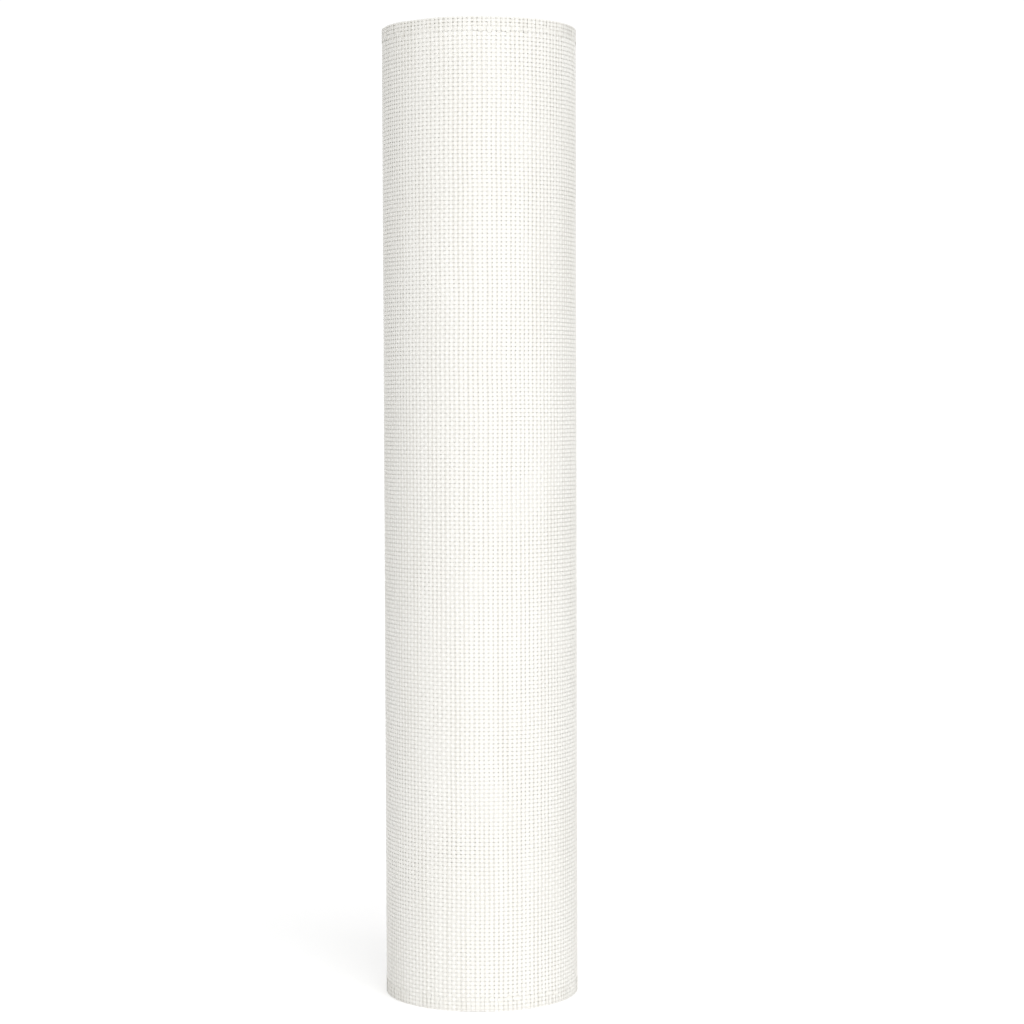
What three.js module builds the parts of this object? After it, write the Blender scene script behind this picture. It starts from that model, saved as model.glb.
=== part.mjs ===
// A roll of square-mesh aluminium wire cloth, standing on one end.
// The mesh is one long sheet wound on itself without a core, so the roll is a single turned solid
// with an open bore. Its turns show as rings of ridges and grooves on both ends.
// Millimetres, +Z up along the roll's axis, origin at the middle of the end it stands on.

import * as THREE from "three";

const rollLength = 1000; // the mesh's width, which is the roll's height as it stands
const outerDiameter = 201;
const boreDiameter = 57;
const turnThickness = 1.2; // two flattened wires where they cross, and the air to the next turn
const turnsInRidge = 5; // how many neighbouring turns stand together as one ridge
const grooveWidth = 1.6; // the mouth of the groove between two ridges
const grooveDepth = 3;
const edgeBevel = 0.5; // where the outermost and innermost turns round the corner onto the ends
const facetsAround = 64;

const outerRadius = outerDiameter / 2;
const boreRadius = boreDiameter / 2;
const windingDepth = outerRadius - boreRadius;
const turnCount = Math.round(windingDepth / turnThickness);
const ridgeCount = Math.max(1, Math.round(turnCount / turnsInRidge));
const ridgePitch = (windingDepth + grooveWidth) / ridgeCount;

// One end of the roll as points of the profile, from the outer wrap in to the bore.
// inwards is the direction along the axis from this end to the middle of the roll.
function endProfile(endHeight, inwards) {
  const points = [];
  for (let ridge = 0; ridge < ridgeCount; ridge += 1) {
    const ridgeOuter = outerRadius - ridge * ridgePitch;
    const ridgeInner = ridgeOuter - (ridgePitch - grooveWidth);
    const isOutermost = ridge === 0;
    const isInnermost = ridge === ridgeCount - 1;
    if (isOutermost) {
      points.push(new THREE.Vector2(outerRadius, endHeight + inwards * edgeBevel));
    }
    points.push(new THREE.Vector2(ridgeOuter - (isOutermost ? edgeBevel : 0), endHeight));
    points.push(new THREE.Vector2(ridgeInner + (isInnermost ? edgeBevel : 0), endHeight));
    if (isInnermost) {
      points.push(new THREE.Vector2(boreRadius, endHeight + inwards * edgeBevel));
    } else {
      points.push(new THREE.Vector2(ridgeInner - grooveWidth / 2, endHeight + inwards * grooveDepth));
    }
  }
  return points;
}

// The whole wound roll: both ends joined by the outer wrap and the bore, turned round the axis.
function woundRoll() {
  const bottomEnd = endProfile(0, 1).reverse();
  const topEnd = endProfile(rollLength, -1);
  const profile = [...bottomEnd, ...topEnd, bottomEnd[0].clone()];
  const geometry = new THREE.LatheGeometry(profile, facetsAround);
  geometry.rotateX(Math.PI / 2);
  return geometry;
}

const coatedWire = new THREE.MeshStandardMaterial({ color: 0xf3f2ec, roughness: 0.55, metalness: 0.25 });

const meshRoll = new THREE.Mesh(woundRoll(), coatedWire);
meshRoll.name = "mesh_roll";

const part = new THREE.Group();
part.add(meshRoll);

export default part;
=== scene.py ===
import math
import random

import bpy
from mathutils import Matrix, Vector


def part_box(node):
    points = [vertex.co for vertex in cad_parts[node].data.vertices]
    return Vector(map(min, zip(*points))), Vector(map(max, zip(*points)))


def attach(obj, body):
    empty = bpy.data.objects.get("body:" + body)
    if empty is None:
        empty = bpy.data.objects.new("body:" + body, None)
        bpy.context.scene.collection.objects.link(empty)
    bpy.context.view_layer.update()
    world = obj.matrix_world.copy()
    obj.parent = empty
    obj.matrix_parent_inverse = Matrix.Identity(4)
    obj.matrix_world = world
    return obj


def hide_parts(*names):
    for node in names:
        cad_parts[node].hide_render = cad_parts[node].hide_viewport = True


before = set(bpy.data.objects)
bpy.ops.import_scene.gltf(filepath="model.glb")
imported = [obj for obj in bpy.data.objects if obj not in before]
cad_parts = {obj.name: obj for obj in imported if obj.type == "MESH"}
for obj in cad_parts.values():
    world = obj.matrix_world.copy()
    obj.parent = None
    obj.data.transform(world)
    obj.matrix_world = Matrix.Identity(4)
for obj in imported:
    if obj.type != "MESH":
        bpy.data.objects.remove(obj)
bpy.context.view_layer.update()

rollLow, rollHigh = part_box("mesh_roll")
rollHeight = rollHigh.z - rollLow.z
rollRadius = (rollHigh.x - rollLow.x) / 2
boreRadius = min(v.co.xy.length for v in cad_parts["mesh_roll"].data.vertices)

# The mesh is modelled flat, as it leaves the loom: X runs along the sheet from its free end inwards,
# Z across its width and -Y is the side that faces outwards. A spiral guide then winds each piece up.
sheet = {
    "strandWidth": 0.0029,
    "strandThickness": 0.0003,
    "ringCrimp": 0.00034,     # how far a strand round the roll swings to either side where it crosses another
    "axialCrimp": 0.00014,    # those along the roll lie straighter
    "ringStray": 0.00006,     # how unevenly the strands are spaced
    "axialStray": 0.00024,
    "clearance": 0.00074,     # from the roll's outside to the middle of the outermost turn
    "endGap": 0.0001,         # the strands stay this far inside both ends of the roll
    "ringRows": 241,          # strands that run round the roll
    "cellsInTurn": 130,       # openings round the outermost turn
    "mergeWithin": 0.00001,   # points this near become one where a strand is repeated
    "smoothBelow": 35,        # in degrees
}
# Turns lie close together in bunches, with a wider gap between two bunches
winding = {
    "turnsInBunch": 5,
    "tight": 0.00085,
    "loose": 0.0026,
    "stepFrom": 0.7,          # share of a turn after which it steps down to the next
    "freeEndAngle": 118,      # where the sheet ends, in degrees; the camera is at -90
    "pointsInTurn": 132,
}
# How far the first rows lie from either end, as (row, distance); the rim strand is a narrow one
rimRows = {
    "lower": ((-0.35, sheet["endGap"]), (0.35, 0.0017), (1, 0.0042), (2, 0.0081), (3, 0.0123), (4, 0.0166)),
    "upper": ((-0.35, sheet["endGap"]), (0.35, 0.0017), (1, 0.0042), (2, 0.0077), (3, 0.0116), (4, 0.0174)),
}
lastRow = sheet["ringRows"] - 1
firstEven = rimRows["lower"][-1]
lastEven = rimRows["upper"][-1]
ringPitch = (rollHeight - firstEven[1] - lastEven[1]) / (lastRow - firstEven[0] - lastEven[0])
outerMiddle = rollRadius - sheet["clearance"]
bunchDepth = winding["tight"] * (winding["turnsInBunch"] - 1) + winding["loose"]
turns = round((rollRadius - boreRadius) / bunchDepth * winding["turnsInBunch"])


# The spiral's radius, so many turns from the free end
def radiusAt(turned):
    whole = int(turned)
    bunches, inBunch = divmod(whole, winding["turnsInBunch"])
    drop = winding["loose"] if inBunch == winding["turnsInBunch"] - 1 else winding["tight"]
    eased = max(0, (turned - whole - winding["stepFrom"]) / (1 - winding["stepFrom"]))
    return outerMiddle - bunches * bunchDepth - inBunch * winding["tight"] - drop * eased


def sheetLength(turned):
    points = round(turned * winding["pointsInTurn"])
    step = 2 * math.pi / winding["pointsInTurn"]
    return sum(radiusAt(i / winding["pointsInTurn"]) * step for i in range(points))


firstTurn = sheetLength(1)
cellPitch = firstTurn / sheet["cellsInTurn"]
dice = random.Random(7)


def say(words):
    print("scene:", words, flush=True)


# Steps of modelling by hand

def only(obj):
    if bpy.context.object and bpy.context.object.mode != "OBJECT":
        bpy.ops.object.mode_set(mode="OBJECT")
    bpy.ops.object.select_all(action="DESELECT")
    obj.select_set(True)
    bpy.context.view_layer.objects.active = obj


def applyAll(obj):
    only(obj)
    for modifier in list(obj.modifiers):
        bpy.ops.object.modifier_apply(modifier=modifier.name)
    bpy.ops.object.transform_apply(location=True, rotation=True, scale=True)


def repeat(obj, count, step, merge=False):
    array = obj.modifiers.new("repeat", "ARRAY")
    array.count = count
    array.use_relative_offset = False
    array.use_constant_offset = True
    array.constant_offset_displace = step
    array.use_merge_vertices = merge
    array.merge_threshold = sheet["mergeWithin"]
    applyAll(obj)


def selectBoundary():
    bpy.ops.mesh.select_mode(type="VERT")
    bpy.ops.mesh.select_all(action="DESELECT")
    bpy.ops.mesh.select_non_manifold(
        extend=False, use_wire=False, use_boundary=True, use_multi_face=False,
        use_non_contiguous=False, use_verts=False)


def faceOutwards(obj):
    only(obj)
    bpy.ops.object.mode_set(mode="EDIT")
    bpy.ops.mesh.select_all(action="SELECT")
    bpy.ops.mesh.normals_make_consistent(inside=False)
    bpy.ops.object.mode_set(mode="OBJECT")


def closeEnds(obj):
    only(obj)
    bpy.ops.object.mode_set(mode="EDIT")
    selectBoundary()
    bpy.ops.mesh.fill_holes(sides=4)
    bpy.ops.object.mode_set(mode="OBJECT")
    faceOutwards(obj)


def boundaryPoints(obj):
    only(obj)
    bpy.ops.object.mode_set(mode="EDIT")
    selectBoundary()
    bpy.ops.object.mode_set(mode="OBJECT")
    return [v.index for v in obj.data.vertices if v.select]


# Fills the gap between two open edges, given by their points
def bridge(obj, points):
    only(obj)
    bpy.ops.object.mode_set(mode="EDIT")
    bpy.ops.mesh.select_mode(type="VERT")
    bpy.ops.mesh.select_all(action="DESELECT")
    bpy.ops.object.mode_set(mode="OBJECT")
    for i in points:
        obj.data.vertices[i].select = True
    bpy.ops.object.mode_set(mode="EDIT")
    bpy.ops.mesh.bridge_edge_loops()
    bpy.ops.object.mode_set(mode="OBJECT")


def joined(name, objs):
    only(objs[0])
    for obj in objs[1:]:
        obj.select_set(True)
    if len(objs) > 1:
        bpy.ops.object.join()
    bpy.ops.object.transform_apply(location=True, rotation=True, scale=True)
    whole = bpy.context.object
    whole.name = name
    whole.data.name = name
    return whole


# A flat strand: a square section pressed flat, then extruded from one crossing to the next.
# It is turned first if it runs along the sheet.
def strand(name, start, steps, width=sheet["strandWidth"], thickness=sheet["strandThickness"]):
    bpy.ops.object.select_all(action="DESELECT")
    bpy.ops.mesh.primitive_circle_add(vertices=4, radius=math.sqrt(0.5), fill_type="NOTHING")
    obj = bpy.context.object
    obj.name = name
    obj.rotation_euler.z = math.pi / 4
    bpy.ops.object.transform_apply(location=True, rotation=True, scale=True)
    obj.location = start
    obj.scale = (width, thickness, 1)
    if abs(steps[0][0]) > abs(steps[0][2]):
        obj.rotation_euler.y = math.pi / 2
    bpy.ops.object.transform_apply(location=True, rotation=True, scale=True)
    bpy.ops.object.mode_set(mode="EDIT")
    bpy.ops.mesh.select_all(action="SELECT")
    for step in steps:
        bpy.ops.mesh.extrude_region_move(TRANSFORM_OT_translate={"value": step})
    bpy.ops.object.mode_set(mode="OBJECT")
    return obj


# Neighbouring strands round the roll, over and under in turn
def ringStrands(name, firstCell, cells, firstRow, rows=2, crimp=sheet["ringCrimp"]):
    made = []
    for row in range(firstRow, firstRow + rows):
        swing = -crimp if (firstCell + row) % 2 == 0 else crimp
        run = strand(name, (firstCell * cellPitch, swing, row * ringPitch),
                     [(cellPitch, -2 * swing, 0), (cellPitch, 2 * swing, 0)])
        repeat(run, cells // 2, (2 * cellPitch, 0, 0), merge=True)
        closeEnds(run)
        made.append(run)
    return joined(name, made)


# Two neighbouring strands across the sheet, opposite in phase to the ones they cross
def axialPair(name, firstCell, firstRow, rows):
    made = []
    for cell in (firstCell, firstCell + 1):
        swing = sheet["axialCrimp"] if (cell + firstRow) % 2 == 0 else -sheet["axialCrimp"]
        steps = [(0, (2 if i % 2 else -2) * swing, ringPitch) for i in range(rows)]
        run = strand(name, (cell * cellPitch, swing, firstRow * ringPitch), steps)
        closeEnds(run)
        made.append(run)
    return joined(name, made)


# The spiral guide, from the free end inwards
def windingGuide():
    data = bpy.data.curves.new("winding_guide", "CURVE")
    data.dimensions = "3D"
    data.twist_mode = "Z_UP"
    spline = data.splines.new("POLY")
    spline.points.add((turns - 1) * winding["pointsInTurn"])
    for i, point in enumerate(spline.points):
        turned = i / winding["pointsInTurn"]
        radius = radiusAt(turned)
        angle = math.radians(winding["freeEndAngle"]) + 2 * math.pi * turned
        point.co = (radius * math.cos(angle), radius * math.sin(angle), 0, 1)
    made = bpy.data.objects.new("winding_guide", data)
    bpy.context.collection.objects.link(made)
    return made


guide = windingGuide()
say(f"{turns} turns, cells of {cellPitch * 1000:.2f} x {ringPitch * 1000:.2f} mm")


# How far a row lies from its own end of the roll
def fromEnd(side, row):
    table = rimRows[side]
    if row >= table[-1][0]:
        return table[-1][1] + (row - table[-1][0]) * ringPitch
    for (rowBefore, before), (rowAfter, after) in zip(table, table[1:]):
        if row <= rowAfter:
            return before + (row - rowBefore) * (after - before) / (rowAfter - rowBefore)


# Moves the evenly drawn rows to their real heights, and keeps each point's place in the weave for the colours
def setRows(obj):
    weave = obj.data.attributes.new("weave", "FLOAT_VECTOR", "POINT")
    for v in obj.data.vertices:
        row = v.co.z / ringPitch
        weave.data[v.index].vector = (v.co.x / cellPitch, row, 0)
        if row < lastRow / 2:
            v.co.z = fromEnd("lower", row)
        else:
            v.co.z = rollHeight - fromEnd("upper", lastRow - row)


# Lazy waves that hand-rolled mesh always has
waves = {
    "X": {"amount": 0.0016, "size": 0.070, "basis": "ORIGINAL_PERLIN"},
    "Z": {"amount": 0.0016, "size": 0.056, "basis": "IMPROVED_PERLIN"},
    "Y": {"amount": 0.0003, "size": 0.098, "basis": "BLENDER_ORIGINAL"},
}


def waveTexture(axis):
    made = bpy.data.textures.new("lazy_wave_" + axis, "CLOUDS")
    made.noise_scale = waves[axis]["size"]
    made.noise_depth = 1
    made.noise_basis = waves[axis]["basis"]
    return made


waveTextures = {axis: waveTexture(axis) for axis in waves}


# Waves and winds a piece that is drawn flat; one that isn't woven has no rows to set
def windUp(obj, woven=True):
    if woven:
        setRows(obj)
    for axis, wave in waves.items():
        push = obj.modifiers.new("wave " + axis, "DISPLACE")
        push.texture = waveTextures[axis]
        push.texture_coords = "LOCAL"
        push.direction = axis
        push.strength = wave["amount"]
        push.mid_level = 0.5
    bend = obj.modifiers.new("wind up", "CURVE")
    bend.object = guide
    bend.deform_axis = "POS_X"
    applyAll(obj)
    for v in obj.data.vertices:
        v.co.z = min(max(v.co.z, sheet["endGap"]), rollHeight - sheet["endGap"])
    bpy.ops.object.shade_smooth_by_angle(angle=math.radians(sheet["smoothBelow"]))


# Shifts each strand a little sideways, as a whole
def stray(obj, axis, pitch, amount):
    shifts = {}
    for v in obj.data.vertices:
        line = round(v.co[axis] / pitch)
        if line not in shifts:
            shifts[line] = dice.uniform(-amount, amount)
        v.co[axis] += shifts[line]


def place(obj, material):
    obj.data.materials.clear()
    obj.data.materials.append(material)
    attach(obj, "root")
    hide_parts("mesh_roll")
    say(f"{obj.name}: {sum(len(p.vertices) - 2 for p in obj.data.polygons)} triangles")


# Materials

# A number that the nodes work out
class Value:
    tree = None    # the node tree that is being made

    def __init__(self, socket):
        self.socket = socket

    def maths(self, operation, *others):
        node = Value.tree.nodes.new("ShaderNodeMath")
        node.operation = operation
        for slot, item in zip(node.inputs, (self,) + others):
            if isinstance(item, Value):
                Value.tree.links.new(item.socket, slot)
            else:
                slot.default_value = item
        return Value(node.outputs[0])

    def __add__(self, other):
        return self.maths("ADD", other)

    def __radd__(self, other):
        return self + other

    def __sub__(self, other):
        return self.maths("SUBTRACT", other)

    def __rsub__(self, other):
        return self * -1 + other

    def __mul__(self, other):
        return self.maths("MULTIPLY", other)

    def __truediv__(self, other):
        return self.maths("DIVIDE", other)


# The nodes of a material or of the world
class Nodes:
    def __init__(self, owner):
        owner.use_nodes = True
        self.owner = owner
        self.tree = owner.node_tree
        self.tree.nodes.clear()
        Value.tree = self.tree

    def node(self, kind, settings=None, inputs=None, output=0):
        made = self.tree.nodes.new("ShaderNode" + kind)
        for key, value in (settings or {}).items():
            setattr(made, key, value)
        for key, value in (inputs or {}).items():
            if isinstance(value, Value):
                self.tree.links.new(value.socket, made.inputs[key])
            else:
                made.inputs[key].default_value = value
        return Value(made.outputs[output]) if made.outputs else None

    def apart(self, vector):
        first = self.node("SeparateXYZ", None, {"Vector": vector})
        return [Value(socket) for socket in first.socket.node.outputs]

    def noise(self, spot, pattern):
        return self.node("TexNoise", None, {
            "Vector": spot, "Scale": pattern["scale"], "Detail": pattern["detail"]})

    # The Mix node takes colours at sockets 6 and 7 and gives one at socket 2
    def blend(self, factor, low, high):
        return self.node("Mix", {"data_type": "RGBA"}, {0: factor, 6: low, 7: high}, 2)

    # 0 at start and 1 at end, which may lie below start
    def step(self, value, start, end):
        return self.node("MapRange", {"interpolation_type": "SMOOTHSTEP"},
                         {"Value": value, "From Min": start, "From Max": end})

    def coated(self, colour, relief, depth):
        bump = self.node("Bump", None, {"Height": relief, "Strength": 1.0, "Distance": depth})
        shader = self.node("BsdfPrincipled", None, {
            "Base Color": colour, "Roughness": coating["roughness"], "Metallic": 0.0, "Normal": bump})
        self.node("OutputMaterial", None, {"Surface": shader})
        return self.owner


coating = {
    "ringLight": (0.91, 0.903, 0.875, 1),
    "ringDull": (0.89, 0.881, 0.85, 1),
    "axialShadedPale": (0.85, 0.84, 0.805, 1),    # painted shade: darker than the ring strands' colours, as these lie a little lower in the weave
    "axialShadedDull": (0.83, 0.818, 0.78, 1),
    "opening": (0.92, 0.905, 0.86, 1),       # between the drawn strands of the inner turns
    "between": (0.73, 0.71, 0.655, 1),       # painted shade on a strand where it dips between two others
    "roughness": 0.55,
    "tint": {"scale": 9.0, "detail": 3.0, "dull": 0.35, "pale": 0.65},
    # Long streaks along the roll where the painted shade in the dips is stronger
    "shadeStreaks": {"scale": 150.0, "detail": 1.0, "stretch": 0.03, "faint": 0.3, "strong": 0.7},
    "grain": {"scale": 900.0, "detail": 2.0, "depth": 0.00002},
}
# How wide and how dark the painted shade lines are on a strand where it dips between two that cross it, in
# openings.
# Part 0 counts the openings round the roll and part 1 the rows along it.
ringShadeLines = {"part": 0, "edge": 0.42, "middle": 0.06, "least": 0.45, "more": 0.40}
axialShadeLines = {"part": 1, "edge": 0.28, "middle": 0.05, "least": 0.10, "more": 0.30}
endShadeLines = {"part": 1, "edge": 0.32, "middle": 0.05, "least": 0.35, "more": 0.50}


# How far a place lies from the middle of its opening, given openings counted along
def fromMiddle(counted):
    return (counted.maths("FRACT") - 0.5).maths("ABSOLUTE")


def strandFinish(name, shadeLines, pale, dull):
    nodes = Nodes(bpy.data.materials.new(name))
    spot = nodes.node("TexCoord", output="Object")
    weave = nodes.node("Attribute", {"attribute_name": "weave"}, output="Vector")
    # 1 on the strand's painted shade line, midway between two strands that cross it
    line = nodes.step(fromMiddle(nodes.apart(weave)[shadeLines["part"]]), shadeLines["edge"], shadeLines["middle"])
    tint = coating["tint"]
    unshaded = nodes.blend(nodes.step(nodes.noise(spot, tint), tint["dull"], tint["pale"]), dull, pale)
    shadeStreaks = coating["shadeStreaks"]
    stretched = nodes.node("Mapping", None, {"Vector": spot, "Scale": (1, 1, shadeStreaks["stretch"])})
    strength = nodes.step(nodes.noise(stretched, shadeStreaks), shadeStreaks["faint"], shadeStreaks["strong"])
    darkness = strength * shadeLines["more"] + shadeLines["least"]
    # Painted shade: the strand darkens towards the dip colour on that line, more so in the streaks
    colour = nodes.blend(line * darkness, unshaded, coating["between"])
    return nodes.coated(colour, nodes.noise(spot, coating["grain"]), coating["grain"]["depth"])


ringFinish = strandFinish("coated_ring_wire", ringShadeLines, coating["ringLight"], coating["ringDull"])
axialFinish = strandFinish("coated_axial_wire", axialShadeLines, coating["axialShadedPale"], coating["axialShadedDull"])
# The folded ends take the axial strands' colours, painted shade included
endFinish = strandFinish("coated_end_wire", endShadeLines, coating["axialShadedPale"], coating["axialShadedDull"])

# Outermost turn
frayed = {"shortest": -0.0010, "longest": 0.0022}


# The free end was cut by hand, so its strands end unevenly
def fray(rings):
    cuts = [dice.uniform(frayed["shortest"], frayed["longest"]) for row in range(sheet["ringRows"])]
    for v in rings.data.vertices:
        isAtFreeEnd = v.co.x < cellPitch / 2
        if isAtFreeEnd:
            v.co.x += cuts[round(v.co.z / ringPitch)]


def outermostTurn():
    cells = sheet["cellsInTurn"]
    pairsInHalf = lastRow // 4
    made = []
    for part, firstRow in (("lower", 0), ("upper", 2 * pairsInHalf)):
        name = "outer_ring_strands_" + part
        rings = ringStrands(name, 0, cells, firstRow)
        repeat(rings, pairsInHalf, (0, 0, 2 * ringPitch))
        if part == "upper":
            rings = joined(name, [rings, ringStrands(name, 0, cells, lastRow, 1)])
        fray(rings)
        stray(rings, 2, ringPitch, sheet["ringStray"])
        made.append(rings)
    inFirst = cells // 2 + 1
    for part, firstCell, count in (("first", 1, inFirst), ("second", 1 + inFirst, cells - inFirst)):
        uprights = axialPair("outer_axial_strands_" + part, firstCell, 0, lastRow)
        repeat(uprights, count // 2, (2 * cellPitch, 0, 0))
        stray(uprights, 0, cellPitch, sheet["axialStray"])
        made.append(uprights)
    for obj in made:
        windUp(obj)
        place(obj, ringFinish if "ring" in obj.name else axialFinish)


# Everything under the outermost turn, one solid that follows the spiral
core = {
    "behind": 0.00054,        # from the middle of the outermost turn to this wall
    "endInset": 0.0075,
    "columns": 132,
    "rows": 60,
    "boreSides": 64,
    "smoothBelow": 30,        # in degrees
    "drift": {"scale": 12.0, "detail": 1.0, "openings": 1.2},    # how the drawn weave wanders
    "fadeFrom": 0.08,         # the drawn strands' soft edge, from over the strand to past it, in openings
    "fadeTo": -0.04,
    "endFrom": 0.0012,        # below each end, where the drawn weave gives way to one even colour
    "endFull": 0.0006,
    "relief": 0.0004,
}


# The strands of these turns are drawn, at the same pitch and along the same spiral
def innerFinish():
    nodes = Nodes(bpy.data.materials.new("inner_turns"))
    spot = nodes.node("TexCoord", output="Object")
    x, y, z = nodes.apart(spot)
    turned = (y.maths("ARCTAN2", x) / (2 * math.pi) - winding["freeEndAngle"] / 360).maths("FRACT")
    radius = (x * x + y * y).maths("SQRT")
    wobble = (nodes.noise(spot, core["drift"]) - 0.5) * core["drift"]["openings"]
    alongCells = turned * radius * (2 * math.pi / cellPitch) + wobble
    upRows = z / ringPitch + wobble
    edge = (1 - sheet["strandWidth"] / cellPitch) / 2
    betweenAxial = nodes.step(fromMiddle(alongCells), edge + core["fadeFrom"], edge + core["fadeTo"])
    betweenRings = nodes.step(fromMiddle(upRows), edge + core["fadeFrom"], edge + core["fadeTo"])
    solidEnd = rollHeight / 2 - core["endInset"]
    onEnd = nodes.step((z - rollHeight / 2).maths("ABSOLUTE"),
                       solidEnd - core["endFrom"], solidEnd - core["endFull"])
    opening = (betweenAxial * betweenRings).maths("MAXIMUM", onEnd)
    colour = nodes.blend(opening, coating["ringLight"], coating["opening"])
    return nodes.coated(colour, 1 - opening, core["relief"])


def innerTurns():
    height = rollHeight - 2 * core["endInset"]
    bpy.ops.object.select_all(action="DESELECT")
    bpy.ops.mesh.primitive_grid_add(
        x_subdivisions=core["columns"], y_subdivisions=core["rows"], size=1,
        location=(firstTurn / 2, core["behind"], rollHeight / 2), rotation=(math.pi / 2, 0, 0))
    wall = bpy.context.object
    wall.scale = (firstTurn, height, 1)
    applyAll(wall)
    seam = [v.index for v in wall.data.vertices if min(v.co.x, firstTurn - v.co.x) < cellPitch / 2]
    windUp(wall, woven=False)
    bridge(wall, seam)
    bpy.ops.object.select_all(action="DESELECT")
    bpy.ops.mesh.primitive_cylinder_add(
        vertices=core["boreSides"], radius=radiusAt(turns - 1) - core["behind"] / 2, depth=height,
        end_fill_type="NOTHING", location=(0, 0, rollHeight / 2))
    bore = bpy.context.object
    applyAll(bore)
    whole = joined("inner_turns", [wall, bore])
    for side in (1, -1):
        bridge(whole, [i for i in boundaryPoints(whole)
                       if (whole.data.vertices[i].co.z - rollHeight / 2) * side > 0])
    faceOutwards(whole)
    bpy.ops.object.shade_smooth_by_angle(angle=math.radians(core["smoothBelow"]))
    place(whole, innerFinish())


# The turns show on both ends as one long spiral of rim strands and the strand ends that they hold
ends = {
    "firstCell": sheet["cellsInTurn"],
    "stubRows": 2,
    "rimCrimp": 0.00008,      # the rim strands lie nearly straight
    "lastTurn": turns - 1.4,
    "sinks": 0.0022,          # how far some turns lie below the others
    "sinksOver": 0.3,         # along this much of the sheet the sinking sets in
    "wavelengths": (0.83, 0.37),
}


# How far a place along the sheet lies below the roll's end, in long waves that are out of step
def sink(x):
    swell = sum(math.sin(2 * math.pi * x / length + length) for length in ends["wavelengths"])
    share = swell / (2 * len(ends["wavelengths"])) + 0.5
    return ends["sinks"] * share * min(1, (x - ends["firstCell"] * cellPitch) / ends["sinksOver"])


def turnsOnEnds():
    cells = int(sheetLength(ends["lastTurn"]) / cellPitch - ends["firstCell"]) // 2 * 2
    for side, rim, stub, inwards in (("lower", 0, 0, 1), ("upper", lastRow, lastRow - ends["stubRows"], -1)):
        rims = ringStrands("end_rims_" + side, ends["firstCell"], cells, rim, 1, ends["rimCrimp"])
        stubs = axialPair("end_stubs_" + side, ends["firstCell"], stub, ends["stubRows"])
        repeat(stubs, cells // 2, (2 * cellPitch, 0, 0))
        for obj in (rims, stubs):
            for v in obj.data.vertices:
                v.co.z += sink(v.co.x) * inwards
            windUp(obj)
            place(obj, ringFinish if obj == rims else axialFinish)


# The strand ends are folded back over the first rows, and reach into the fourth row of openings
folds = {
    "share": {"lower": 0.6, "upper": 0.8},
    "sideways": 0.25,         # in openings
    "shortest": 3.1,          # in rows
    "longest": 3.8,
    "beyondRim": 0.2,
    "drawnRows": 4,           # how long a fold is before it is scaled to its own length
    "width": 0.0024,
    "thickness": 0.0002,
    "out": 0.00045,
    "outVaries": 0.00004,
    "looped": {"lower": 0.5, "upper": 0.35},    # share that end in a small loop
    "loopRadius": 0.0027,
    "loopHole": 0.3,          # share of that radius
    "loopPoints": 12,
    "loopBack": 0.5,          # from the fold's tip back to the loop's middle, in rows
    "loopStandsOut": 0.00012,
}


# A strand end bent round into a flat loop
def endLoop(name):
    bpy.ops.object.select_all(action="DESELECT")
    bpy.ops.mesh.primitive_circle_add(vertices=folds["loopPoints"], radius=folds["loopRadius"],
                                      fill_type="NOTHING", rotation=(math.pi / 2, 0, 0))
    loop = bpy.context.object
    loop.name = name
    bpy.ops.object.transform_apply(location=True, rotation=True, scale=True)
    bpy.ops.object.mode_set(mode="EDIT")
    bpy.ops.mesh.select_all(action="SELECT")
    bpy.ops.mesh.extrude_edges_move()
    bpy.ops.transform.resize(value=(folds["loopHole"],) * 3)
    bpy.ops.object.mode_set(mode="OBJECT")
    wall = loop.modifiers.new("thickness", "SOLIDIFY")
    wall.thickness = folds["thickness"]
    wall.offset = 0
    applyAll(loop)
    faceOutwards(loop)
    return loop


def copyAt(template, cell, out, row, length=1):
    copy = template.copy()
    copy.data = template.data.copy()
    bpy.context.collection.objects.link(copy)
    copy.location = (cell * cellPitch, -out, row * ringPitch)
    copy.scale.z = length
    return copy


def foldedEnds():
    for side in ("lower", "upper"):
        name = "folded_ends_" + side
        steps = [(0, 0, ringPitch)] * folds["drawnRows"]
        upright = strand(name, (0, 0, 0), steps, folds["width"], folds["thickness"])
        closeEnds(upright)
        loop = endLoop(name)
        made = []
        for cell in range(1, sheet["cellsInTurn"]):
            if dice.random() > folds["share"][side]:
                continue
            across = cell + dice.uniform(-folds["sideways"], folds["sideways"])
            rows = dice.uniform(folds["shortest"], folds["longest"])
            out = folds["out"] + dice.uniform(-folds["outVaries"], folds["outVaries"])
            tip = rows if side == "lower" else lastRow - rows
            start = -folds["beyondRim"] if side == "lower" else tip
            length = (rows + folds["beyondRim"]) / folds["drawnRows"]
            made.append(copyAt(upright, across, out, start, length))
            if dice.random() < folds["looped"][side]:
                back = -folds["loopBack"] if side == "lower" else folds["loopBack"]
                made.append(copyAt(loop, across, out + folds["loopStandsOut"], tip + back))
        bpy.data.objects.remove(upright)
        bpy.data.objects.remove(loop)
        folded = joined(name, made)
        windUp(folded)
        place(folded, endFinish)


outermostTurn()
innerTurns()
turnsOnEnds()
foldedEnds()
bpy.data.objects.remove(guide)
say("mesh wound")

# Stage, light and camera. The surroundings are even at the sides, and brighter towards the front, the
# back and the top. There -1 is the direction behind the camera, and 1 beyond the roll or straight up.
light = {
    "sides": 0.26,
    "front": {"added": 0.36, "from": -0.1, "full": -0.6},
    "back": {"added": 0.80, "from": 0.65, "full": 0.93},
    "overhead": {"added": 0.6, "from": 0.45, "full": 0.80},
    "key": 1.22,
    "keySpread": 60,          # these three are in degrees
    "keyHeight": 30,
    "keySide": 20,
}
ground = {"size": 60, "colour": (0.95, 0.95, 0.95, 1), "roughness": 0.9, "glow": 0.18}
white = (1, 1, 1, 1)


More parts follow.
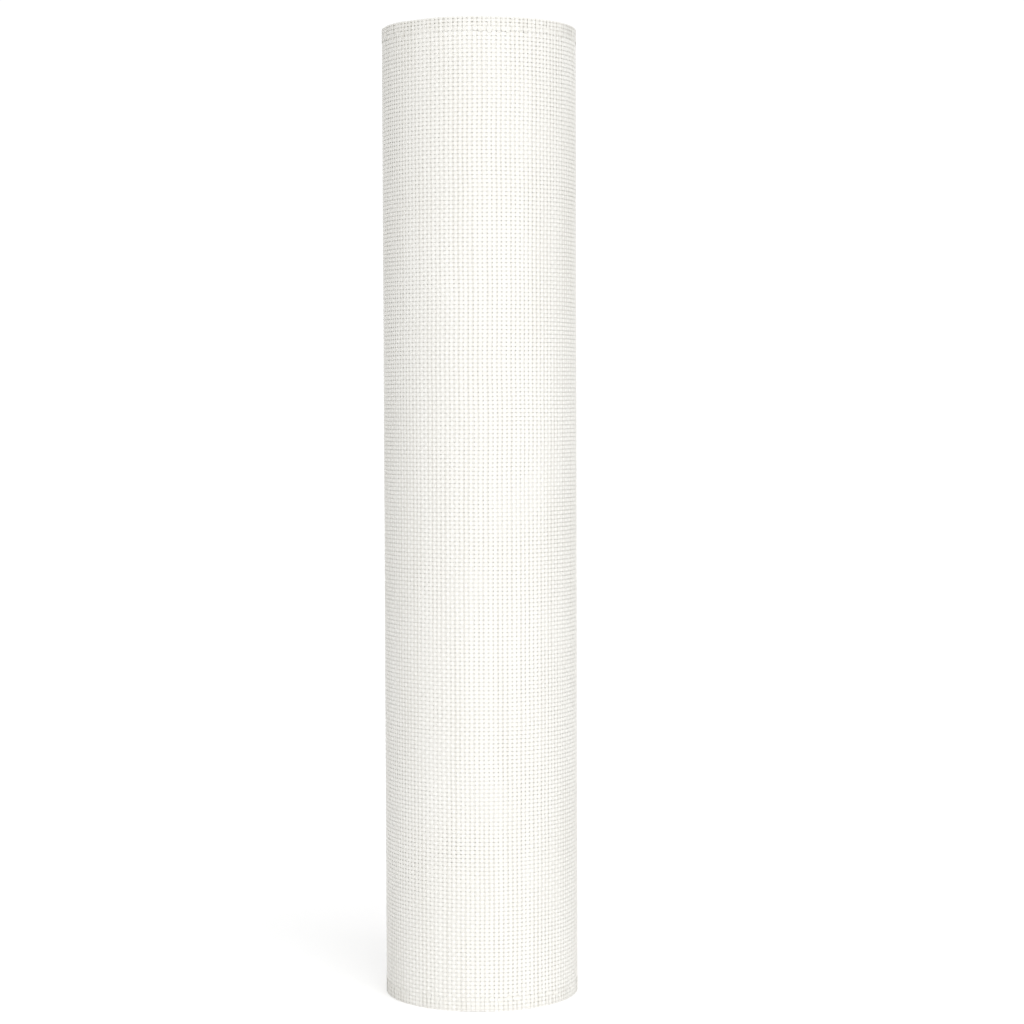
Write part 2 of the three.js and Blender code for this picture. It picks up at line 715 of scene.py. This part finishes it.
def layFloor():
    bpy.ops.object.select_all(action="DESELECT")
    bpy.ops.mesh.primitive_plane_add(size=ground["size"], location=(0, 0, 0))
    floor = bpy.context.object
    floor.name = "floor"
    nodes = Nodes(bpy.data.materials.new("pale_floor"))
    shader = nodes.node("BsdfPrincipled", None, {
        "Base Color": ground["colour"], "Roughness": ground["roughness"],
        "Emission Color": white, "Emission Strength": ground["glow"]})
    nodes.node("OutputMaterial", None, {"Surface": shader})
    floor.data.materials.append(nodes.owner)


def surroundings():
    world = bpy.context.scene.world or bpy.data.worlds.new("studio")
    bpy.context.scene.world = world
    nodes = Nodes(world)
    depth, up = nodes.apart(nodes.node("TexCoord", output="Generated"))[1:]
    brightness = light["sides"]
    for direction, glow in ((depth, light["front"]), (depth, light["back"]), (up, light["overhead"])):
        brightness = nodes.step(direction, glow["from"], glow["full"]) * glow["added"] + brightness
    background = nodes.node("Background", None, {"Color": white, "Strength": brightness})
    nodes.node("OutputWorld", None, {"Surface": background})


def softKey():
    sun = bpy.data.lights.new("soft_key", "SUN")
    sun.energy = light["key"]
    sun.angle = math.radians(light["keySpread"])
    lamp = bpy.data.objects.new("soft_key", sun)
    lamp.rotation_euler = (math.radians(90 - light["keyHeight"]), 0, math.radians(light["keySide"]))
    bpy.context.collection.objects.link(lamp)


# Fitted to the photo's outline: the focal length in pixels, lengths in metres and angles in degrees
shot = {"focal": 2474.5, "imageSide": 1024, "sensor": 36.0, "distance": 2.5778, "height": 0.6226,
        "tilt": 2.681, "yaw": -0.73, "roll": -0.168, "nearest": 0.05, "farthest": 200}


def camera():
    data = bpy.data.cameras.new("camera")
    data.sensor_width = shot["sensor"]
    data.lens = shot["focal"] / shot["imageSide"] * shot["sensor"]
    data.clip_start = shot["nearest"]
    data.clip_end = shot["farthest"]
    made = bpy.data.objects.new("camera", data)
    made.matrix_world = (Matrix.Translation((0, -shot["distance"], shot["height"]))
                         @ Matrix.Rotation(math.radians(shot["yaw"]), 4, "Z")
                         @ Matrix.Rotation(math.radians(90 - shot["tilt"]), 4, "X")
                         @ Matrix.Rotation(math.radians(shot["roll"]), 4, "Z"))
    bpy.context.collection.objects.link(made)
    bpy.context.scene.camera = made


layFloor()
surroundings()
softKey()
camera()
bpy.context.scene.view_settings.view_transform = "Standard"
say("stage, light and camera set")
